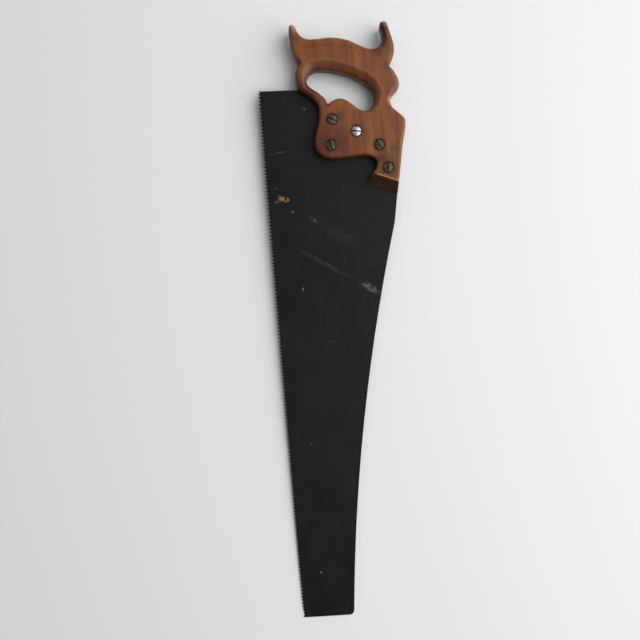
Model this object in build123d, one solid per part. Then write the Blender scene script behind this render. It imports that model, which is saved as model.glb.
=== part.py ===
from build123d import *
import math
import os

# Hand saw: a skew-backed plate, a closed wooden handle let over its heel, and five slotted
# saw screws that draw into five blind barrel nuts from the other cheek.
#
# Drawing frame, millimetres: X runs along the tooth line from the heel (0) to the toe, Y from
# the tooth points towards the back of the plate, and Z up through the handle's thickness.
# The saw lies on its nut-side cheek, so Z = 0 is that cheek. The finished parts are moved so
# that the origin is the centre of the whole saw's footprint, on the surface it lies on.

# --- driving dimensions ---------------------------------------------------------------
HANDLE_THICK = 22.0        # seven-eighths board
MID = HANDLE_THICK / 2     # height of the plate's middle plane

TOOTH_COUNT = 156          # six teeth to the inch over 26 inches
TOOTH_PITCH = 25.4 / 6
TOOTH_LINE = TOOTH_COUNT * TOOTH_PITCH
FRONT_RAKE = 15.0          # the face towards the toe leans back this far from square
BACK_SLOPE = 45.0          # the face towards the heel, so each point holds 60 degrees
BREAST = 0.5               # how far the tooth line swells between heel and toe
PLATE_THICK = 0.9

TOE_CORNER = (662.6, 65.8)     # where the toe would meet the back without its rounding
TOE_RADIUS = 6.0
HEEL_TOP = (2.4, 50.0)         # where the heel edge goes in under the cheek
SPINE_IN = (106.0, 167.0)      # the back's straight start, hidden in the nose
SPINE_BEND = (172.0, 156.0)    # where the back turns into its long hollow curve
SPINE_BEND_RADIUS = 90.0
HOLLOW_MIDDLE = (421.0, 97.4)  # a point half-way along that curve

KERF_GAP = 0.05            # between the plate and each wall of the kerf
KERF_RUN_OUT = 20.0        # the kerf's cutter leaves the wood this far below the heel's top
KERF_PAST_PLATE = (-0.5, 0.3)  # the kerf is sawn a little deeper than the plate reaches

NIB_RADIUS = 2.0           # root of the sharp nicks behind the guard and the upper horn
NOSE_RADIUS = 2.0          # the nose's two corners, seen from the side
NOSE_BEVEL_RUN = 13.6      # length of the nose's bevel, measured on the plate
NOSE_LIP = 1.0             # wood left standing on the plate under the bevel

HEAD_RADIUS = 6.35         # half-inch heads on screws and nuts
HEAD_RIM = 1.3
HEAD_CROWN = 1.2           # dome on a screw head, which stands a little proud of the wood
NUT_CROWN = 0.8            # dome on a nut, which stays under the wood
NUT_SUNK = 0.2
SEAT_RADIUS = 6.6          # counterbore for a head
SEAT_DEPTH = 2.0
BARREL_RADIUS = 3.5
BARREL_HOLE_RADIUS = 3.6   # through wood and plate
BARREL_SHORT = 2.0         # the barrel stops short of the screw's head, so the pair can draw up
NECK_SIDE = 7.4            # square neck that stops a nut from turning in the wood
NECK_LENGTH = 3.0
NECK_CLEARANCE = 0.1
SHANK_RADIUS = 2.35
THREAD_BORE_RADIUS = 2.40
THREAD_BORE_FLOOR = 2.0    # solid metal between a nut's head and its blind bore
SHANK_END_GAP = 1.0        # between the shank's end and that floor
SLOT_WIDTH = 1.1
SLOT_DEPTH = 1.4

CUTTER_PAST = 2.0          # every cutter runs on this far past what it cuts

# Each screw: the X and Y of its axis, and the angle of its slot from X.
SCREWS = {
    "guard": (43.4, 88.2, 60.0),
    "front": (74.2, 84.0, 15.0),
    "centre": (60.0, 116.4, 79.0),
    "back": (78.5, 143.0, 33.0),
    "nose": (106.9, 151.6, -5.0),
}

# --- outline of the handle ------------------------------------------------------------
# Each list is one smooth stretch between two sharp corners, as points (X, Y).
GUARD_NIB = (-27.0, 53.2)
BACK_NIB = (-15.6, 162.0)
NOSE_BACK = (138.0, 161.8)
NOSE_FRONT = (123.2, 124.6)
FINGER_CREASE = (25.0, 84.8)

HORNS_AND_GRIP = [
    GUARD_NIB, (-36, 48.6), (-47, 45.3), (-59, 44.4), (-69, 44.8), (-72.6, 46.4), (-73.3, 49.3),
    (-71.8, 52), (-65.5, 55), (-60, 59.5), (-57.2, 66), (-56.4, 78), (-56.8, 92), (-54.8, 106),
    (-49.2, 120), (-42.7, 131), (-38.2, 141.5), (-39.6, 150), (-46, 155.3), (-55, 156.4),
    (-63, 155), (-67.2, 155.9), (-68.3, 159.6), (-66.8, 163.4), (-60.5, 165.6), (-49, 168.8),
    (-37, 170.5), (-27, 168.6), BACK_NIB,
]
KNUCKLE = [
    BACK_NIB, (-8, 168.6), (0, 172.3), (7, 173.3), (12, 171.6), (17, 166.4), (22, 162.2),
    (28, 160.8), (34, 162.8), (41, 169.3), (46.5, 175), (51, 177.4), (56, 177.1),
    (85, 171.1), (112, 166.2), NOSE_BACK,
]
FRONT_EDGE = [
    NOSE_FRONT, (119, 126.9), (112, 132.8), (105, 137.4), (98.5, 138), (92.5, 134),
    (89.5, 126), (89.2, 115), (90.2, 102), (90.4, 88), (88.2, 76), (82, 68.2), (74, 65),
    (66, 65.2), (57, 67.6), (44, 71.8), (33, 73.3), (25, 72.1), (17, 66.8), (11, 58.6),
    (4.5, 50.6), (-3, 48), (-11, 47.2), (-18, 48.2), (-23.5, 51), GUARD_NIB,
]
FINGER_HOLE = [
    FINGER_CREASE, (21.2, 90.7), (19, 98), (20.8, 106), (26, 113.3), (32.2, 120.2),
    (36, 128.5), (33.6, 136.3), (26, 140.8), (15, 141.3), (6, 135.6), (-2.8, 124.4),
    (-10, 110.3), (-15, 95), (-17.8, 80), (-17, 69.8), (-13, 63.9), (-6.5, 61.2),
    (-1, 62.5), (5, 68.6), (12, 77), (18, 82), FINGER_CREASE,
]

# The plate's hidden edge inside the kerf, from its heel to where its back begins.
TANG = [HEEL_TOP, (5.5, 57.5), (13, 68.5), (24, 77), (29.6, 86), (26.5, 97.5), (33.5, 109.5),
        (42.5, 124), (45, 136), (56, 150), (78, 163.5), SPINE_IN]


def make_plate_face():
    """The plate's outline with its teeth, on Z = 0: each point leans back from the toe."""
    forward = math.tan(math.radians(FRONT_RAKE))
    depth = TOOTH_PITCH / (forward + math.tan(math.radians(BACK_SLOPE)))
    teeth = []
    for i in range(TOOTH_COUNT + 1):
        x = i * TOOTH_PITCH
        swell = BREAST * (1 - (2 * x / TOOTH_LINE - 1) ** 2)
        teeth += [(x, -swell), (x + depth * forward, depth - swell)]
    toe_gullet = teeth[-1]
    edges = [
        *Polyline(*teeth).edges(),
        Line(toe_gullet, TOE_CORNER),
        ThreePointArc(TOE_CORNER, HOLLOW_MIDDLE, SPINE_BEND),
        Line(SPINE_BEND, SPINE_IN),
        Spline(*reversed(TANG)),
        Line(HEEL_TOP, (0, 0)),
    ]
    face = make_face(Wire(edges))
    toe = face.vertices().sort_by_distance(TOE_CORNER)[0]
    face = fillet(toe, TOE_RADIUS)
    bend = face.vertices().sort_by_distance(SPINE_BEND)[0]
    return fillet(bend, SPINE_BEND_RADIUS)


def slab(face, low, high):
    """A flat face on Z = 0 made solid between two heights."""
    return Pos(0, 0, low) * extrude(face, high - low, dir=(0, 0, 1))


def at_screws(shape):
    """A copy of the shape on each screw's axis."""
    return [Pos(x, y) * shape for x, y, _ in SCREWS.values()]


def make_saw_plate(plate_face):
    pierced = plate_face - at_screws(Circle(BARREL_HOLE_RADIUS))
    return slab(pierced, MID - PLATE_THICK / 2, MID + PLATE_THICK / 2)


def soften(face, corners, radius):
    """Round the outline's sharp corners in plan."""
    for corner in corners:
        face = fillet(face.vertices().sort_by_distance(corner)[0], radius)
    return face


def make_nose_wedge():
    """What the nose's bevel takes off the upper cheek, from the cheek down to the plate."""
    nose = Vector(*NOSE_BACK) - Vector(*NOSE_FRONT)
    along_nose = nose.normalized()
    section = Plane(origin=NOSE_FRONT, x_dir=along_nose.cross(Vector(0, 0, 1)), z_dir=along_nose)
    low = MID + PLATE_THICK / 2 + NOSE_LIP
    fall = (HANDLE_THICK - low) / NOSE_BEVEL_RUN
    past_nose = (CUTTER_PAST, low - CUTTER_PAST * fall)
    behind_bevel = (-NOSE_BEVEL_RUN - CUTTER_PAST, HANDLE_THICK + CUTTER_PAST * fall)
    above_nose = (past_nose[0], behind_bevel[1])
    profile = make_face(Polyline(past_nose, behind_bevel, above_nose, close=True))
    wedge = extrude(section * profile, nose.length + 2 * CUTTER_PAST, dir=along_nose)
    return Pos(along_nose * -CUTTER_PAST) * wedge


def make_board():
    """The handle's board, sawn square to its outline and bevelled at the nose."""
    outline = make_face(Wire([
        Spline(*HORNS_AND_GRIP),
        Spline(*KNUCKLE),
        Line(NOSE_BACK, NOSE_FRONT),
        Spline(*FRONT_EDGE),
    ]))
    outline = soften(outline, [GUARD_NIB, BACK_NIB], NIB_RADIUS)
    outline = soften(outline, [NOSE_BACK, NOSE_FRONT], NOSE_RADIUS)
    board = slab(outline - make_face(Spline(*FINGER_HOLE)), 0, HANDLE_THICK)
    wedge = make_nose_wedge()
    return board - wedge - mirror(wedge, Plane.XY.offset(MID))


def make_kerf_face():
    """The saw cut that takes the plate, open towards the nose and under the cheek."""
    under_cheek = HEEL_TOP[1] - KERF_RUN_OUT
    return Pos(*KERF_PAST_PLATE) * make_face(Wire([
        Spline(*TANG),
        *Polyline(SPINE_IN, SPINE_BEND, (SPINE_BEND[0], under_cheek), (HEEL_TOP[0], under_cheek),
                  HEEL_TOP).edges(),
    ]))


def make_handle():
    handle = make_board()
    kerf = make_kerf_face()
    half_kerf = PLATE_THICK / 2 + KERF_GAP
    handle -= slab(kerf, MID - half_kerf, MID + half_kerf)
    bore = Pos(0, 0, MID) * Cylinder(BARREL_HOLE_RADIUS, HANDLE_THICK + CUTTER_PAST)
    seat = Pos(0, 0, SEAT_DEPTH / 2) * Cylinder(SEAT_RADIUS, SEAT_DEPTH)
    neck_side = NECK_SIDE + 2 * NECK_CLEARANCE
    neck_depth = NECK_LENGTH + NECK_CLEARANCE
    neck = Pos(0, 0, SEAT_DEPTH + neck_depth / 2) * Box(neck_side, neck_side, neck_depth)
    handle -= at_screws(bore)
    handle -= at_screws(seat)
    handle -= at_screws(Pos(0, 0, HANDLE_THICK - SEAT_DEPTH) * seat)
    return handle - at_screws(neck)


def domed_head(rim, crown):
    """A round head standing on Z = 0, its rim plain and its top a shallow dome."""
    sphere_radius = (HEAD_RADIUS ** 2 + crown ** 2) / (2 * crown)
    ball = Pos(0, 0, rim + crown - sphere_radius) * Sphere(sphere_radius)
    blank = Pos(0, 0, (rim + crown) / 2) * Cylinder(HEAD_RADIUS, rim + crown)
    return blank & ball


def make_screw(x, y, slot_angle):
    """Slotted screw: its head bears on the upper counterbore, its shank fills the nut's bore."""
    seat_z = HANDLE_THICK - SEAT_DEPTH
    shank_end = SEAT_DEPTH + THREAD_BORE_FLOOR + SHANK_END_GAP
    head = Pos(0, 0, seat_z) * domed_head(HEAD_RIM, HEAD_CROWN)
    shank_length = seat_z - shank_end
    shank = Pos(0, 0, shank_end + shank_length / 2) * Cylinder(SHANK_RADIUS, shank_length)
    slot_z = seat_z + HEAD_RIM + HEAD_CROWN - SLOT_DEPTH / 2
    slot_length = 2 * (HEAD_RADIUS + CUTTER_PAST)
    slot = Pos(0, 0, slot_z) * Rot(0, 0, slot_angle) * Box(slot_length, SLOT_WIDTH, SLOT_DEPTH)
    return Pos(x, y) * (head + shank - slot)


def make_nut(x, y):
    """Barrel nut: a domed head let in under the lower cheek, a square neck and a blind barrel."""
    rim = SEAT_DEPTH - NUT_CROWN - NUT_SUNK
    head = Pos(0, 0, SEAT_DEPTH) * mirror(domed_head(rim, NUT_CROWN), Plane.XY)
    neck = Pos(0, 0, SEAT_DEPTH + NECK_LENGTH / 2) * Box(NECK_SIDE, NECK_SIDE, NECK_LENGTH)
    barrel_top = HANDLE_THICK - SEAT_DEPTH - BARREL_SHORT
    barrel_length = barrel_top - SEAT_DEPTH
    barrel = Pos(0, 0, SEAT_DEPTH + barrel_length / 2) * Cylinder(BARREL_RADIUS, barrel_length)
    bore_floor = SEAT_DEPTH + THREAD_BORE_FLOOR
    bore_length = barrel_top - bore_floor
    bore = Pos(0, 0, bore_floor + bore_length / 2) * Cylinder(THREAD_BORE_RADIUS, bore_length)
    return Pos(x, y) * (head + neck + barrel - bore)


parts = {
    "saw_plate": make_saw_plate(make_plate_face()),
    "handle": make_handle(),
}
for name, (x, y, slot_angle) in SCREWS.items():
    parts[name + "_screw"] = make_screw(x, y, slot_angle)
    parts[name + "_nut"] = make_nut(x, y)

footprint = Compound(list(parts.values())).bounding_box()
shift = Pos(-footprint.center().X, -footprint.center().Y, -footprint.min.Z)
os.makedirs("parts", exist_ok=True)
for name, shape in parts.items():
    export_step(shift * shape, f"parts/{name}.step")
print("origin at", -shift.position)
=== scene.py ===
import math

import bmesh
import bpy
import numpy as np
from mathutils import Matrix, Vector
from mathutils.kdtree import KDTree


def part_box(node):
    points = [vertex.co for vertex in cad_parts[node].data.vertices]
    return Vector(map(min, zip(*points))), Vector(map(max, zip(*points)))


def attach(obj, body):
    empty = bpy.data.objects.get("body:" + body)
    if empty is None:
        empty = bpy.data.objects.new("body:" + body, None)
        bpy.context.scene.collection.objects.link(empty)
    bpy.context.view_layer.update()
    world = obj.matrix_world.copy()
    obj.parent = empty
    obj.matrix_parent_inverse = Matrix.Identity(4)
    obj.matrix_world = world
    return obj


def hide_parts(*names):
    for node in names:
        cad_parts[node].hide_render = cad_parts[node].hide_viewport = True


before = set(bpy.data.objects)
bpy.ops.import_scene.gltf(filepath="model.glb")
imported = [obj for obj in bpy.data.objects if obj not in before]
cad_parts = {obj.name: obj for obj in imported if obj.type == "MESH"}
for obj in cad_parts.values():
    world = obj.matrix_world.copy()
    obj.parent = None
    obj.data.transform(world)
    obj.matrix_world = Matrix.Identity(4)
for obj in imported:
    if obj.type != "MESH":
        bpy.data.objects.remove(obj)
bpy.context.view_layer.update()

bpy.ops.object.select_all(action="DESELECT")


# --- Camera ---------------------------------------------------------------------------------
# It hangs almost straight above the saw, a little towards the toe's side of the handle, with
# the handle at the top of the frame and the teeth on the left. Its place, like all places
# below, is in millimetres on the saw: x along the tooth line from the heel, y from the tooth
# points towards the back, z up from the cheek that the saw lies on.
MM = 0.001
TOOTH_SWELL = 0.5      # how far the tooth line bows out between its ends
plate_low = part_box("saw_plate")[0]
HEEL = Vector((plate_low.x, plate_low.y + TOOTH_SWELL * MM, 0.0))


def place(x, y, z=0.0):
    return HEEL + MM * Vector((x, y, z))


camera_place = place(249.8, 56.4, 845.6)
camera_aim = place(286.1, 53.4, 11.0)
frame_up = Vector((-0.9965, 0.0831, 0.0))
camera_back = (camera_place - camera_aim).normalized()
camera_right = frame_up.cross(camera_back).normalized()
camera_top = camera_back.cross(camera_right)
camera = bpy.data.objects.new("camera", bpy.data.cameras.new("camera"))
camera.data.sensor_width = 36.0
camera.data.lens = 37.7
camera.matrix_world = Matrix.Translation(camera_place) @ Matrix(
    (camera_right, camera_top, camera_back)).transposed().to_4x4()
bpy.context.scene.collection.objects.link(camera)
bpy.context.scene.camera = camera


# --- Wooden handle --------------------------------------------------------------------------
# One board of varnished hardwood, sawn to its outline, then rasped round at the grip, horns
# and guard, left crisp round the cheek, bevelled at the nose and counterbored for five screws.
THICK = 22.0
CORNER = "corner"
OUTLINE = [
    (-27.0, 53.2, CORNER), (-36, 48.6), (-47, 45.3), (-59, 44.4), (-69, 44.8), (-72.3, 45.6),
    (-73.4, 47.2), (-73.5, 49.6), (-72.7, 51.6), (-70.6, 52.7), (-65.5, 55.2), (-60, 59.5),
    (-57.2, 66), (-56.4, 78), (-56.8, 92), (-54.8, 106), (-49.2, 120), (-42.7, 131),
    (-38.2, 141.5), (-39.6, 150), (-46, 155.3), (-55, 156.4), (-63, 155), (-66.8, 155.2),
    (-68, 156.6), (-68.3, 159.6), (-67.9, 162.6), (-66.3, 164), (-60.5, 165.6), (-49, 168.8),
    (-37, 170.5), (-27, 168.6), (-15.6, 162.0, CORNER), (-8, 168.6), (0, 172.3), (7, 173.3),
    (12, 171.6), (17, 166.4), (22, 162.2), (28, 160.8), (34, 162.8), (41, 169.3), (46.5, 175),
    (51, 177.4), (56, 177.1), (85, 171.1), (112, 166.2), (138.0, 161.8, CORNER),
    (123.2, 124.6, CORNER), (119, 126.9), (112, 132.8), (105, 137.4), (98.5, 138), (92.5, 134),
    (89.5, 126), (89.2, 115), (90.2, 102), (90.4, 88), (88.2, 76), (82, 68.2), (74, 65),
    (66, 65.2), (57, 67.6), (44, 71.8), (33, 73.3), (25, 72.1), (17, 66.8), (11, 58.6),
    (4.5, 50.6), (-3, 48), (-11, 47.2), (-18, 48.2), (-23.5, 51),
]
FINGER_HOLE = [
    (25.0, 84.8, CORNER), (21.2, 90.7), (19, 98), (20.8, 106), (26, 113.3), (32.2, 120.2),
    (36, 128.5), (33.6, 136.3), (26, 140.8), (15, 141.3), (6, 135.6), (-2.8, 124.4), (-10, 110.3),
    (-15, 95), (-17.8, 80), (-17, 69.8), (-13, 63.9), (-6.5, 61.2), (-1, 62.5), (5, 68.6),
    (12, 77), (18, 82),
]
SCREW_PLACES = {
    "guard": (43.4, 88.2), "front": (74.2, 84.0), "centre": (60.0, 116.4),
    "back": (78.5, 143.0), "nose": (106.9, 151.6),
}
# How the rasp has rounded the edge near each place: x, y, how far the rounding comes over the
# cheek and how far it goes down the edge. Between these places it changes gradually.
ROUNDING = [
    (-56.5, 70, 12, 8.5), (-56.5, 82, 12, 8.8), (-56.5, 94, 12, 8.8), (-54, 107, 12, 8.6),
    (-48.5, 121, 9, 7.5), (-42.5, 131, 6.5, 6), (-38.5, 142, 5, 6), (-46, 155.5, 6, 8),
    (-58, 156, 4.5, 8), (-64, 155.3, 3, 6), (-68.2, 159.6, 1.2, 1.5), (-62, 165.3, 3.5, 4),
    (-45, 170, 5, 5), (-28, 169, 4, 4), (-16, 162, 2.5, 3), (0, 172.3, 5, 5), (10, 172.5, 5, 5),
    (24, 161.5, 3, 3.5), (42, 170, 3, 3), (52, 177, 3, 3), (85, 171, 3, 3), (125, 164, 2.5, 2.5),
    (131, 143, 0.6, 0.5), (119, 127, 1.5, 1.5), (103, 137.5, 1.8, 2), (89.3, 118, 1.8, 2),
    (90.4, 90, 2.5, 2.5), (84, 69.5, 3, 3), (68, 65, 3, 3), (44, 71.8, 3, 3), (25, 72, 3.5, 3.5),
    (11, 58.5, 4.5, 5), (0, 49, 5, 6), (-14, 47.5, 5, 6), (-26, 52.5, 3, 4), (-40, 47, 3.5, 4),
    (-60, 44.3, 3, 4), (-73, 48, 1.8, 2.2), (-71, 52.6, 4, 5), (-63, 57, 7.5, 7),
    (-17.8, 80, 12, 6.4), (-17, 70, 11, 6.6), (-13, 64, 7, 6.5), (-6.5, 61.2, 5, 6),
    (0, 63.5, 5, 6), (12, 77, 3, 4), (24, 84.5, 1.2, 1.5), (19.2, 97, 1.6, 1.8),
    (26, 113.3, 1.8, 2), (35.5, 125, 2.5, 2.5), (34, 135.5, 4.5, 3.5), (26, 140.8, 8, 4.6),
    (15, 141.3, 10, 5.4), (6, 135.6, 11.5, 6), (-2.8, 124.4, 12, 6.4), (-10, 110.3, 12, 6.4),
    (-15, 95, 12, 6.4),
]
ROUND_SHARE = 0.8         # of the rounding that is a quarter circle, the rest a plain bevel
BLEND_FROM, BLEND_POWER = 1.0, 4    # how sharply one stretch's rounding gives way to the next
NOSE_FRONT, NOSE_BACK = np.array((123.2, 124.6)), np.array((138.0, 161.8))
NOSE_BEVEL, NOSE_LIP = 13.6, 1.5
MESH_SIZE = 0.85          # how closely the carved surface is modelled
SEAT_RADIUS, SEAT_DEPTH = 6.75, 2.0
BORE_RADIUS = 3.6
KERF_OVER_PLATE = 1.12    # how many times wider the saw cut is than the plate is thick


def only(piece):
    bpy.ops.object.select_all(action="DESELECT")
    piece.select_set(True)
    bpy.context.view_layer.objects.active = piece
    return piece


def shaped_by(piece, kind, **settings):
    """Gives the piece a modifier and applies it."""
    only(piece)
    modifier = piece.modifiers.new(kind.lower(), kind)
    for name, value in settings.items():
        setattr(modifier, name, value)
    bpy.ops.object.modifier_apply(modifier=modifier.name)


def outline_curve(name, *loops):
    """Closed smooth loops, with sharp points where they say so, as one flat sawn board."""
    curve = bpy.data.curves.new(name, "CURVE")
    curve.dimensions, curve.fill_mode, curve.resolution_u = "2D", "BOTH", 24
    curve.extrude = THICK / 2 * MM
    for loop in loops:
        spline = curve.splines.new("BEZIER")
        spline.bezier_points.add(len(loop) - 1)
        spline.use_cyclic_u = True
        for point, (x, y, *sharp) in zip(spline.bezier_points, loop):
            point.co = place(x, y)
            point.handle_left_type = point.handle_right_type = "VECTOR" if sharp else "AUTO"
    board = bpy.data.objects.new(name, curve)
    bpy.context.scene.collection.objects.link(board)
    board.location.z = THICK / 2 * MM
    only(board)
    bpy.ops.object.convert(target="MESH")
    board = bpy.context.object
    bpy.ops.object.transform_apply(location=True, rotation=True, scale=True)
    return board


def on_saw(piece):
    """The piece's points in millimetres on the saw."""
    flat = np.empty(3 * len(piece.data.vertices))
    piece.data.vertices.foreach_get("co", flat)
    return (flat.reshape(-1, 3) - np.array(HEEL)) / MM


def put_back(piece, points):
    piece.data.vertices.foreach_set("co", (points * MM + np.array(HEEL)).ravel())
    piece.data.update()


def nearest_on(edge_points):
    """A finder of the nearest outline point: gives its distance and number for each point."""
    tree = KDTree(len(edge_points))
    for i, (x, y) in enumerate(edge_points):
        tree.insert((x, y, 0.0), i)
    tree.balance()

    def find(points):
        found = [tree.find((x, y, 0.0)) for x, y, _ in points]
        return np.array([f[2] for f in found]), np.array([f[1] for f in found])
    return find


def from_nose(points):
    """How far each point lies inside the nose's edge."""
    along = (NOSE_BACK - NOSE_FRONT) / np.linalg.norm(NOSE_BACK - NOSE_FRONT)
    inwards = np.array((-along[1], along[0]))
    return (points[:, :2] - NOSE_FRONT) @ inwards


handle = outline_curve("carved_handle", OUTLINE, FINGER_HOLE)
edge_points = np.unique(np.round(on_saw(handle)[:, :2], 3), axis=0)
find_edge = nearest_on(edge_points)
stations = np.array(ROUNDING, float)
spread = np.linalg.norm(edge_points[:, None, :] - stations[None, :, :2], axis=2)
weights = 1.0 / (spread + BLEND_FROM) ** BLEND_POWER
edge_rounding = weights @ stations[:, 2:] / weights.sum(axis=1)[:, None]

shaped_by(handle, "REMESH", mode="VOXEL", voxel_size=MESH_SIZE * MM, use_smooth_shade=True)
points = on_saw(handle)
inside, nearest = find_edge(points)
over, down = edge_rounding[nearest].T
t = np.clip(inside / over, 0.0, 1.0)     # 0 at the edge, 1 where the rounding meets the cheek
drop = down * (ROUND_SHARE * (1 - np.sqrt(1 - (1 - t) ** 2)) + (1 - ROUND_SHARE) * (1 - t))
bevelled = NOSE_LIP + (THICK / 2 - NOSE_LIP) * np.maximum(from_nose(points) / NOSE_BEVEL, 0)
half = np.minimum(THICK / 2 - drop, bevelled)
share = (points[:, 2] - THICK / 2) / (THICK / 2)
points[:, 2] = THICK / 2 + share * half
put_back(handle, points)
shaped_by(handle, "SMOOTH", factor=0.5, iterations=3)


def cut_away(piece, cutter):
    """Takes the cutter's shape out of the piece and throws the cutter away."""
    only(cutter)
    bpy.ops.object.transform_apply(location=True, rotation=True, scale=True)
    shaped_by(piece, "BOOLEAN", operation="DIFFERENCE", object=cutter, solver="EXACT")
    bpy.data.objects.remove(cutter)


def copy_of_node(node, name):
    """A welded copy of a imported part's mesh, as a piece of its own."""
    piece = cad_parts[node].copy()
    piece.data = piece.data.copy()
    piece.name, piece.parent = name, None
    piece.hide_render = piece.hide_viewport = False
    bpy.context.scene.collection.objects.link(piece)
    only(piece)
    bpy.ops.object.mode_set(mode="EDIT")
    bpy.ops.mesh.select_all(action="SELECT")
    bpy.ops.mesh.remove_doubles(threshold=0.0005 * MM)
    bpy.ops.object.mode_set(mode="OBJECT")
    return piece


# The seats for the heads, the barrels' bores and the saw cut for the plate.
for x, y in SCREW_PLACES.values():
    for z, radius, depth in ((0.0, SEAT_RADIUS, 2 * SEAT_DEPTH), (THICK, SEAT_RADIUS, 2 * SEAT_DEPTH),
                             (THICK / 2, BORE_RADIUS, THICK)):
        bpy.ops.mesh.primitive_cylinder_add(
            vertices=64, radius=radius * MM, depth=depth * MM, location=place(x, y, z))
        cut_away(handle, bpy.context.object)
kerf = copy_of_node("saw_plate", "kerf")
points = on_saw(kerf)
points[:, 2] = THICK / 2 + (points[:, 2] - THICK / 2) * KERF_OVER_PLATE
put_back(kerf, points)
cut_away(handle, kerf)
only(handle)
bpy.ops.object.shade_smooth_by_angle(angle=math.radians(40))

# Where dirt and painted shade darken the wood, where it is rubbed to bare wood or carries a
# painted highlight, and where the wood is redder are kept on the handle's own points for the
# finish to read. Each spot is x, y and its reach.
DARK_CORNERS = [(-15.6, 162.0, 5.0), (-27.0, 53.2, 5.0), (25.0, 84.8, 3.5), (98, 139, 4.0)]
HAND_STAINS = [(84, 161, 5.0), (97, 151, 4.0), (40, 98, 6.0), (-50, 154, 8.0), (-60, 158, 9.0),
               (-44, 157, 6.0), (-32, 150, 5.0)]
RUBBED_TIPS = [(-74, 50, 8.0), (-67, 162, 4.0), (26, 161, 4.0)]
RED_PATCHES = [(78, 82, 34.0), (-52, 163, 24.0), (8, 58, 20.0), (104, 156, 17.0), (-70, 48, 14.0),
               (95, 145, 10.0)]
NOSE_STARTS_AT = 108.0            # the bevel and its crest lie beyond this x
CREST_STARTS_AT = 138.0           # and the part of the crest that carries a painted highlight, beyond this y
BEHIND_GRIP = -38.0               # the grip's outer side lies below this x
GRIP_MIDDLE, GRIP_REACH = (5, 103), (46, 55)
BROAD_ROUNDING = 6.5              # a rounding broader than this ends in a crease on the cheek
CREASE_WIDTH = 0.9
SEAT_SHADE_FADE = 1.3
# How dark each dirt and painted shade is, and how pale each wear and painted highlight, from 0 to 1.
SEAT_SHADE, LOWER_CHEEK_DARKENING, CORNER_DARKENING, HAND_DIRT = 0.75, 0.9, 0.9, 0.5
HOLE_WALL_SHADE, HOLE_ROUNDING_SHADE, CREASE_SHADE = 0.95, 0.42, 0.42
CREASE_HIGHLIGHT, TIP_WEAR = 0.16, 0.75


def spots(points, places):
    """1 in the middle of each spot, fading to 0 round it."""
    return np.max([np.exp(-(np.hypot(points[:, 0] - x, points[:, 1] - y) / reach) ** 2)
                   for x, y, reach in places], axis=0)


points = on_saw(handle)
inside, nearest = find_edge(points)
over = edge_rounding[nearest, 0]
height = points[:, 2] / THICK
nose = from_nose(points)
past_cheek = points[:, 0] > NOSE_STARTS_AT
behind_grip = points[:, 0] < BEHIND_GRIP
gripped = np.exp(-(np.hypot((points[:, 0] - GRIP_MIDDLE[0]) / GRIP_REACH[0],
                            (points[:, 1] - GRIP_MIDDLE[1]) / GRIP_REACH[1])) ** 8)
crease = (over > BROAD_ROUNDING) * np.exp(-((inside - over) / CREASE_WIDTH) ** 2)

# Painted shade lies in the seats and round them, on the nose's bevel, on the finger hole's walls
# and rounding and in the crease along the grip. The lower cheek and some corners are darker.
to_screw = np.min([np.hypot(points[:, 0] - x, points[:, 1] - y)
                   for x, y in SCREW_PLACES.values()], axis=0)
# Painted shade fills each screw's seat and fades out round it.
dirt_and_shade = SEAT_SHADE * np.exp(-np.maximum(to_screw - SEAT_RADIUS, 0) / SEAT_SHADE_FADE)
dirt_and_shade[to_screw < SEAT_RADIUS + 0.05] = 1.0
# The handle gets darker towards its lower cheek.
dirt_and_shade = np.maximum(dirt_and_shade, LOWER_CHEEK_DARKENING * np.clip((0.42 - height) / 0.3, 0, 1))
# Painted shade darkens the nose's bevel, which slopes away from the light.
on_bevel = (nose < NOSE_BEVEL - 0.4) & past_cheek & (height > 0.5)
dirt_and_shade[on_bevel] = (0.7 + 0.22 * np.clip((NOSE_BEVEL - nose) / 5, 0, 1))[on_bevel]
# The handle is darker round a few corners.
dirt_and_shade = np.maximum(dirt_and_shade, CORNER_DARKENING * spots(points, DARK_CORNERS))
# Painted shade runs along the crease on the grip's outer side.
dirt_and_shade = np.maximum(dirt_and_shade, CREASE_SHADE * crease * behind_grip)
# Painted shade darkens the finger hole's walls, more towards the lower cheek.
dirt_and_shade = np.maximum(dirt_and_shade, HOLE_WALL_SHADE * gripped * np.clip((0.9 - height) / 0.4, 0, 1))
# Painted shade darkens the finger hole's rounding towards its edge.
in_hole = gripped * ~behind_grip * (over > 4)
dirt_and_shade = np.maximum(dirt_and_shade, HOLE_ROUNDING_SHADE * in_hole * np.clip(3 * (1 - inside / over), 0, 1))
dirt_and_shade = np.maximum(dirt_and_shade, HAND_DIRT * spots(points, HAND_STAINS))

# A painted highlight lies on the nose's crest and along the finger hole's crease; bare wood shows on
# the tips.
on_crest = past_cheek * (points[:, 1] > CREST_STARTS_AT) * (height > 0.8)
# A painted highlight runs along the nose's crest.
worn = np.exp(-((nose - NOSE_BEVEL) / 0.9) ** 2) * on_crest
# A faint painted highlight runs along the finger hole's crease.
worn = np.maximum(worn, CREASE_HIGHLIGHT * crease * ~behind_grip)
worn = np.maximum(worn, TIP_WEAR * spots(points, RUBBED_TIPS))
for name, values in (("dirt_and_shade", dirt_and_shade), ("worn", worn), ("red", spots(points, RED_PATCHES))):
    layer = handle.data.attributes.new(name, "FLOAT", "POINT")
    layer.data.foreach_set("value", np.clip(values, 0, 1.2).astype(np.float32))


def linear(colour):
    """An sRGB hex colour as the renderer's linear one."""
    channels = [int(colour[i:i + 2], 16) / 255 for i in (1, 3, 5)]
    return [c / 12.92 if c <= 0.04045 else ((c + 0.055) / 1.055) ** 2.4 for c in channels] + [1.0]


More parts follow.
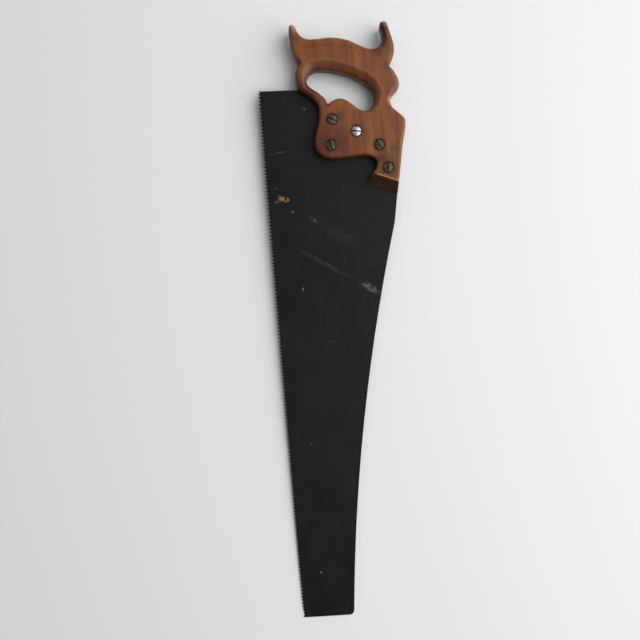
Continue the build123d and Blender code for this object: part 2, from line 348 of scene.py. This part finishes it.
def add(tree, kind, *values, settings={}, out=None, **named):
    """Adds a node with its settings, fills its sockets in order or by name with values or
    links, and gives the output that is asked for, or else its first."""
    node = tree.nodes.new("ShaderNode" + kind)
    for name, value in settings.items():
        setattr(node, name, value)
    sockets = [socket for socket in node.inputs if socket.enabled]
    filled = list(zip(sockets, values))
    filled += [(node.inputs[name.replace("_", " ")], value) for name, value in named.items()]
    for socket, value in filled:
        if isinstance(value, bpy.types.NodeSocket):
            tree.links.new(value, socket)
        else:
            socket.default_value = value
    return node.outputs[out] if out else next(o for o in node.outputs if o.enabled)


def new_finish(name):
    finish = bpy.data.materials.new(name)
    finish.use_nodes = True
    tree = finish.node_tree
    return finish, tree, tree.nodes["Principled BSDF"], add(tree, "TexCoord", out="Object")


def marks(length, width, depth):
    """The scale that makes a pattern's marks so many millimetres long, wide and deep."""
    return 1 / (length * MM), 1 / (width * MM), 1 / (depth * MM)


COLOURS = {"data_type": "RGBA"}      # a Mix of colours: how much, the one below, the one above
PRODUCT = {"operation": "MULTIPLY"}
PRODUCT_AND_SUM = {"operation": "MULTIPLY_ADD"}

# Varnished hardwood: warm red-brown with golden patches, fine grain along the saw, an old
# glossy varnish, black hand grime, painted shade in the hollows, paler bare wood on rubbed
# corners and painted highlights along the nose's crest and the finger hole's crease.
varnished_wood, tree, shader, coords = new_finish("varnished_hardwood")
stretched = add(tree, "Mapping", coords, Scale=marks(110, 8, 26))
bands = add(tree, "TexNoise", stretched, Scale=1.0, Detail=3.0, Distortion=0.5)
stretched = add(tree, "Mapping", coords, Scale=marks(22, 0.9, 0.9))
fibres = add(tree, "TexNoise", stretched, Scale=1.0, Detail=4.0, Roughness=0.6)
stretched = add(tree, "Mapping", coords, Scale=marks(5, 0.8, 0.8))
flecks = add(tree, "TexNoise", stretched, Scale=1.0, Detail=2.0)
stretched = add(tree, "Mapping", coords, Scale=marks(42, 30, 30))
patches = add(tree, "TexNoise", stretched, Scale=1.0, Detail=2.0)

# The wood's own colour, from its broad bands down to its pores.
golden = add(tree, "MapRange", bands, 0.3, 0.7)
wood = add(tree, "Mix", golden, linear("#6a3615"), linear("#90561e"), settings=COLOURS)
shaded = add(tree, "MapRange", patches, 0.45, 0.7, 0.0, 0.6)
wood = add(tree, "Mix", shaded, wood, linear("#6a3418"), settings=COLOURS)
redness = add(tree, "Math", add(tree, "Attribute", settings={"attribute_name": "red"}, out="Fac"),
              add(tree, "MapRange", patches, 0.3, 0.6, 0.55, 0.95), settings=PRODUCT)
wood = add(tree, "Mix", redness, wood, linear("#4a1206"), settings=COLOURS)
in_fibres = add(tree, "MapRange", fibres, 0.35, 0.6, 0.32, 0.0)
wood = add(tree, "Mix", in_fibres, wood, linear("#40200f"), settings=COLOURS)
in_pores = add(tree, "MapRange", flecks, 0.62, 0.72, 0.0, 0.35)
wood = add(tree, "Mix", in_pores, wood, linear("#2c130a"), settings=COLOURS)

# Bare wood and painted highlights, then dirt and painted shade over them. Where the wood is
# darkened, the varnish's gloss is also taken away.
stretched = add(tree, "Mapping", coords, Scale=marks(6, 6, 6))
uneven = add(tree, "TexNoise", stretched, Scale=1.0, Detail=4.0)
dirt_and_shade_mix = add(tree, "Math", add(tree, "Attribute", settings={"attribute_name": "dirt_and_shade"}, out="Fac"),
            add(tree, "MapRange", uneven, 0.3, 0.6, 0.8, 1.0), settings=PRODUCT)
wear_and_highlight_mix = add(tree, "Attribute", settings={"attribute_name": "worn"}, out="Fac")
# Pale bare wood on the tips, and painted highlights on the nose's crest and the hole's crease.
wood = add(tree, "Mix", wear_and_highlight_mix, wood, linear("#b08460"), settings=COLOURS)
# Hand dirt, painted shade in the hollows and the darker corners, all near black.
wood = add(tree, "Mix", dirt_and_shade_mix, wood, linear("#190d08"), settings=COLOURS)
tree.links.new(wood, shader.inputs["Base Color"])
dulled = add(tree, "MapRange", uneven, 0.3, 0.7, 0.34, 0.5)
tree.links.new(dulled, shader.inputs["Roughness"])
varnish = add(tree, "MapRange", dirt_and_shade_mix, 0.2, 0.8, 0.18, 0.0)
tree.links.new(varnish, shader.inputs["Coat Weight"])
shader.inputs["Coat Roughness"].default_value = 0.13
shader.inputs["Specular IOR Level"].default_value = 0.3
stretched = add(tree, "Mapping", coords, Scale=marks(9, 6, 6))
dents = add(tree, "TexNoise", stretched, Scale=1.0, Detail=3.0)
relief = add(tree, "Math", dents, 2.0, fibres, settings=PRODUCT_AND_SUM)
bump = add(tree, "Bump", Height=relief, Distance=0.12 * MM, Strength=0.6)
tree.links.new(bump, shader.inputs["Normal"])
handle.data.materials.clear()
handle.data.materials.append(varnished_wood)
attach(handle, "root")
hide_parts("handle")


# --- Saw plate ------------------------------------------------------------------------------
# Spring steel, 0.9 mm, punched and filed with crosscut teeth and then painted black all over.
# The paint is satin, rubbed grey in streaks, and carries a few specks and one ochre dab.
black_paint, tree, shader, coords = new_finish("satin_black_paint_on_steel")
stretched = add(tree, "Mapping", coords, Scale=marks(60, 45, 45))
clouds = add(tree, "TexNoise", stretched, Scale=1.0, Detail=5.0, Roughness=0.65)
stretched = add(tree, "Mapping", coords, Scale=marks(30, 3, 3))
rubs = add(tree, "TexNoise", stretched, Scale=1.0, Detail=5.0, Distortion=0.4)
stretched = add(tree, "Mapping", coords, Scale=marks(2.2, 2.2, 2.2))
grit = add(tree, "TexNoise", stretched, Scale=1.0, Detail=2.0)
cloudy = add(tree, "MapRange", clouds, 0.3, 0.7)
paint = add(tree, "Mix", cloudy, linear("#0d0d0e"), linear("#161616"), settings=COLOURS)
rubbed = add(tree, "MapRange", rubs, 0.58, 0.78, 0.0, 0.3)
paint = add(tree, "Mix", rubbed, paint, linear("#2b2a29"), settings=COLOURS)
gritty = add(tree, "MapRange", grit, 0.71, 0.78, 0.0, 0.3)
paint = add(tree, "Mix", gritty, paint, linear("#6b6a68"), settings=COLOURS)
# Each mark is x, y, its turn in degrees, its length and width, its colour and its strength.
MARKS = [
    (252, 120, 57, 34, 11, "#6a6a69", 0.55), (246, 114, 62, 16, 8, "#7c7b7a", 0.35),
    (216, 64, 57, 84, 7, "#4e4d4c", 0.4), (76, 21, 99, 26, 2.6, "#6f6d6b", 0.3),
    (162, 56, 50, 15, 7, "#656463", 0.4), (185, 88, 60, 56, 26, "#333332", 0.35),
    (132.5, 17.5, 60, 13, 9, "#5f6138", 1.0), (134, 22.5, 78, 13, 8, "#94732c", 1.2),
    (137, 13, 50, 8, 4, "#77795f", 0.6), (120, 14, 0, 3, 2.4, "#8b8987", 0.6),
    (150, 31, 40, 4.0, 2.2, "#b9b7b4", 0.8), (245, 36, -13, 9, 2.8, "#8a8987", 0.7),
    (605, 28, 0, 2.2, 2.2, "#b0aeab", 0.7), (440, 30, 20, 2.4, 1.8, "#a3a19f", 0.7),
    (26, 55.5, 60, 8, 4.5, "#6e5450", 0.6), (314, 69, 97, 20, 1.5, "#5a5856", 0.35),
]
stretched = add(tree, "Mapping", coords, Scale=marks(3.5, 3.5, 3.5))
breaks = add(tree, "MapRange", add(tree, "TexNoise", stretched, Scale=1.0, Detail=4.0), 0.38, 0.58)
for x, y, turn, length, width, colour, strength in MARKS:
    centred = add(tree, "Mapping", coords, place(x, y, THICK / 2), (0, 0, math.radians(turn)),
                  (length / 2 * MM, width / 2 * MM, THICK * MM), settings={"vector_type": "TEXTURE"})
    away = add(tree, "VectorMath", centred, settings={"operation": "LENGTH"})
    spot = add(tree, "MapRange", away, 0.35, 1.0, strength, 0.0)
    ragged = add(tree, "Math", spot, breaks, settings=PRODUCT)
    paint = add(tree, "Mix", ragged, paint, linear(colour), settings=COLOURS)
# Bare steel shows where the points of the teeth have lost their paint.
from_teeth = add(tree, "SeparateXYZ", coords, out="Y")
filed = add(tree, "MapRange", from_teeth, HEEL.y - 0.4 * MM, HEEL.y + 1.3 * MM, 0.55, 0.0)
paint = add(tree, "Mix", filed, paint, linear("#5d5a55"), settings=COLOURS)
tree.links.new(paint, shader.inputs["Base Color"])
satin = add(tree, "MapRange", clouds, 0.3, 0.7, 0.42, 0.58)
tree.links.new(satin, shader.inputs["Roughness"])
shader.inputs["Specular IOR Level"].default_value = 0.16
relief = add(tree, "Math", clouds, 3.0, grit, settings=PRODUCT_AND_SUM)
bump = add(tree, "Bump", Height=relief, Distance=0.05 * MM, Strength=0.5)
tree.links.new(bump, shader.inputs["Normal"])

plate = copy_of_node("saw_plate", "filed_plate")
TOOTH_PITCH, TOOTH_DEPTH, TOOTH_LINE = 25.4 / 6, 3.34, 660.4
TOOTH_SET, FILED_BEVEL = 0.22, 0.7
TOE_WEAR_FROM, TOE_WEAR = 628.0, 1.7
WEAR_IN_GULLET = 0.5        # of what a point has lost, how much the gullet beside it has
CLOSE = 0.05                # how near a mesh point must be to be taken for a tooth's tip
bpy.ops.object.mode_set(mode="EDIT")
bpy.ops.mesh.select_all(action="SELECT")
bpy.ops.mesh.bisect(plane_co=place(0, TOOTH_DEPTH + 0.15), plane_no=(0, 1, 0))
bpy.ops.object.mode_set(mode="OBJECT")
# Each point is bent to its own side and filed to a slope on its inner face, turn about, and
# the points nearest the toe are worn back.
points = on_saw(plate)
swell = TOOTH_SWELL * (1 - (2 * points[:, 0] / TOOTH_LINE - 1) ** 2)
number = np.round(points[:, 0] / TOOTH_PITCH)
is_tip = ((np.abs(points[:, 1] + swell) < CLOSE)
          & (np.abs(points[:, 0] - number * TOOTH_PITCH) < CLOSE))
bent_to = np.where(number % 2 == 0, 1.0, -1.0)
inner = np.sign(points[:, 2] - THICK / 2) != bent_to
points[is_tip, 2] += bent_to[is_tip] * TOOTH_SET
points[is_tip & inner, 1] += FILED_BEVEL
at_edge = points[:, 1] < TOOTH_DEPTH + 0.1
wear = TOE_WEAR * np.clip((points[:, 0] - TOE_WEAR_FROM) / (TOOTH_LINE - TOE_WEAR_FROM), 0, 1) ** 2
down_tooth = np.clip(points[:, 1] / TOOTH_DEPTH, 0, 1)
points[at_edge, 1] += (wear * (1 - down_tooth * (1 - WEAR_IN_GULLET)))[at_edge]
put_back(plate, points)
only(plate)
bpy.ops.object.shade_smooth_by_angle(angle=math.radians(20))
plate.data.materials.clear()
plate.data.materials.append(black_paint)
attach(plate, "root")
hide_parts("saw_plate")


# --- Saw screws and nuts --------------------------------------------------------------------
# Turned brass screws with domed heads, sawn across for a screwdriver. Four have gone a dull
# olive brown; the centre one is a brighter plated replacement.
def metal(name, base, dark, bright, roughness, metallic):
    finish, tree, shader, coords = new_finish(name)
    stretched = add(tree, "Mapping", coords, Scale=marks(3, 3, 3))
    tarnish = add(tree, "TexNoise", stretched, Scale=1.0, Detail=5.0)
    stretched = add(tree, "Mapping", coords, Scale=marks(6, 0.5, 6))
    scratches = add(tree, "TexNoise", stretched, Scale=1.0, Detail=2.0)
    blotchy = add(tree, "MapRange", tarnish, 0.35, 0.65)
    colour = add(tree, "Mix", blotchy, linear(base), linear(dark), settings=COLOURS)
    scratched = add(tree, "MapRange", scratches, 0.58, 0.7, 0.0, 0.5)
    colour = add(tree, "Mix", scratched, colour, linear(bright), settings=COLOURS)
    # Dirt and painted shade darken the slot and all of the screw below the head's rim.
    slot_darkening = add(tree, "Attribute", settings={"attribute_name": "slot_dirt_and_shade"}, out="Fac")
    colour = add(tree, "Mix", slot_darkening, colour, linear("#120d0a"), settings=COLOURS)
    tree.links.new(colour, shader.inputs["Base Color"])
    dull = add(tree, "MapRange", tarnish, 0.3, 0.7, roughness, roughness + 0.15)
    tree.links.new(dull, shader.inputs["Roughness"])
    shader.inputs["Metallic"].default_value = metallic
    bump = add(tree, "Bump", Height=scratches, Distance=0.06 * MM, Strength=0.5)
    tree.links.new(bump, shader.inputs["Normal"])
    return finish


# Tarnished brass is dull and brown with paler scratches. Nickel plate still shines.
aged_brass = metal("tarnished_brass", "#5b4e3f", "#382e25", "#8a7c68", 0.45, 0.75)
bright_plate = metal("bright_nickel_plate", "#c2bfbc", "#98948f", "#e0dedb", 0.26, 1.0)
HEAD_RADIUS, HEAD_RIM, HEAD_CROWN = 6.35, 1.3, 1.2
SHANK_RADIUS, SHANK_LENGTH = 2.3, 14.0
SLOT_WIDTH, SLOT_DEPTH = 1.5, 1.5
DOME_STEPS = 6
BROKEN_EDGE = 0.14          # the small bevel that use has left on a head's edges
SHADE_DEPTH = 0.15           # of painted shade and dirt in a slot and below the head, over the head's rim
SLOT_TURNS = {"guard": 60, "front": 15, "centre": 79, "back": 33, "nose": -5}


def choose_faces(piece, wanted):
    """Selects, in edit mode, the faces that the test wants and no others."""
    bpy.ops.mesh.select_all(action="DESELECT")
    shape = bmesh.from_edit_mesh(piece.data)
    for face in shape.faces:
        face.select_set(wanted(face))
    bmesh.update_edit_mesh(piece.data)


def turned_screw(name):
    """A head domed in steps, its shank drawn out of its underside, and its slot sawn across."""
    x, y = SCREW_PLACES[name]
    seat = THICK - SEAT_DEPTH
    bpy.ops.mesh.primitive_cylinder_add(
        vertices=72, radius=HEAD_RADIUS * MM, depth=HEAD_RIM * MM,
        location=(0, 0, (seat + HEAD_RIM / 2) * MM))
    screw = only(bpy.context.object)
    screw.name = "sawn_" + name + "_screw"
    bpy.ops.object.transform_apply(location=True, rotation=True, scale=True)
    bpy.ops.object.mode_set(mode="EDIT")
    choose_faces(screw, lambda face: face.normal.z > 0.9)
    for step in range(DOME_STEPS):
        outer, inner = (1 - k / (DOME_STEPS + 1) for k in (step, step + 1))
        rise = HEAD_CROWN * (outer ** 2 - inner ** 2)
        bpy.ops.mesh.inset(thickness=HEAD_RADIUS / (DOME_STEPS + 1) * MM)
        bpy.ops.transform.translate(value=(0, 0, rise * MM))
    choose_faces(screw, lambda face: face.normal.z < -0.9)
    bpy.ops.mesh.inset(thickness=(HEAD_RADIUS - SHANK_RADIUS) * MM)
    bpy.ops.mesh.extrude_region_move(TRANSFORM_OT_translate={"value": (0, 0, -SHANK_LENGTH * MM)})
    bpy.ops.object.mode_set(mode="OBJECT")
    bpy.ops.mesh.primitive_cube_add(
        size=1, location=(0, 0, (seat + HEAD_RIM + HEAD_CROWN) * MM),
        scale=(3 * HEAD_RADIUS * MM, SLOT_WIDTH * MM, 2 * SLOT_DEPTH * MM),
        rotation=(0, 0, math.radians(SLOT_TURNS[name])))
    saw_cut = bpy.context.object
    shaped_by(screw, "BOOLEAN", operation="DIFFERENCE", object=saw_cut, solver="EXACT")
    bpy.data.objects.remove(saw_cut)
    shaped_by(screw, "BEVEL", width=BROKEN_EDGE * MM, segments=2, limit_method="ANGLE",
              angle_limit=math.radians(40))
    screw.location = place(x, y)
    only(screw)
    bpy.ops.object.transform_apply(location=True, rotation=True, scale=True)
    bpy.ops.object.shade_smooth_by_angle(angle=math.radians(35))
    return screw


for name in SCREW_PLACES:
    screw = turned_screw(name)
    points = on_saw(screw)
    x, y = SCREW_PLACES[name]
    # Painted shade and dirt: the slot's bottom and all below the head's rim, down in the seat.
    in_slot = points[:, 2] < THICK - SEAT_DEPTH + HEAD_RIM + SHADE_DEPTH
    slot_darkening = screw.data.attributes.new("slot_dirt_and_shade", "FLOAT", "POINT")
    slot_darkening.data.foreach_set("value", np.where(in_slot, 1.0, 0.0).astype(np.float32))
    plated = name == "centre"
    screw.data.materials.append(bright_plate if plated else aged_brass)
    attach(screw, "root")
    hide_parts(name + "_screw")
    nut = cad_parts[name + "_nut"]
    nut.data.materials.clear()
    nut.data.materials.append(aged_brass)


# --- Floor and light ------------------------------------------------------------------------
# A pale plain surface. The saw rests on it with its nose and its toe, because the plate lies
# higher than the cheek, so the surface slopes a little against the saw.
NOSE_X, TOE_X = 138.0, 662.0
FLOOR_GAP = 0.05
FLOOR_SIZE = 12.0           # metres
bpy.ops.mesh.primitive_plane_add(size=FLOOR_SIZE, location=place(NOSE_X, 100, -FLOOR_GAP))
floor = bpy.context.object
floor.name = "floor"
floor.rotation_euler.y = -math.atan2(plate_low.z / MM, TOE_X - NOSE_X)
# A board painted white: matt, so that it shows only soft shadows.
pale, tree, shader, _ = new_finish("white_painted_board")
shader.inputs["Base Color"].default_value = linear("#e4e4e5")
shader.inputs["Roughness"].default_value = 0.8
floor.data.materials.append(pale)

# The room is brighter on the window's side, behind the back of the saw.
WINDOW_SIDE = (-0.3, 0.88, 0.36)
DARK_SIDE_GLOW, WINDOW_SIDE_GLOW = 0.1, 0.58
world = bpy.data.worlds.new("studio")
bpy.context.scene.world = world
world.use_nodes = True
tree = world.node_tree
direction = add(tree, "TexCoord", out="Generated")
towards_window = add(tree, "VectorMath", direction, WINDOW_SIDE, settings={"operation": "DOT_PRODUCT"})
glow = add(tree, "MapRange", towards_window, -0.6, 1.0, DARK_SIDE_GLOW, WINDOW_SIDE_GLOW)
tree.links.new(glow, tree.nodes["Background"].inputs["Strength"])
tree.nodes["Background"].inputs["Color"].default_value = linear("#fcfdff")
# Each lamp: its place, its size in metres and its energy in watts.
for name, spot, size, energy in (("window", place(130, 1750, 1450), 3.2, 79.0),
                                 ("far_wall", place(-1500, -1500, 1500), 2.4, 4.0)):
    light = bpy.data.objects.new(name, bpy.data.lights.new(name, "AREA"))
    light.data.size, light.data.energy = size, energy
    light.location = spot
    light.rotation_euler = (place(200, 90) - spot).to_track_quat("-Z", "Y").to_euler()
    bpy.context.scene.collection.objects.link(light)
bpy.context.scene.view_settings.view_transform = "Standard"
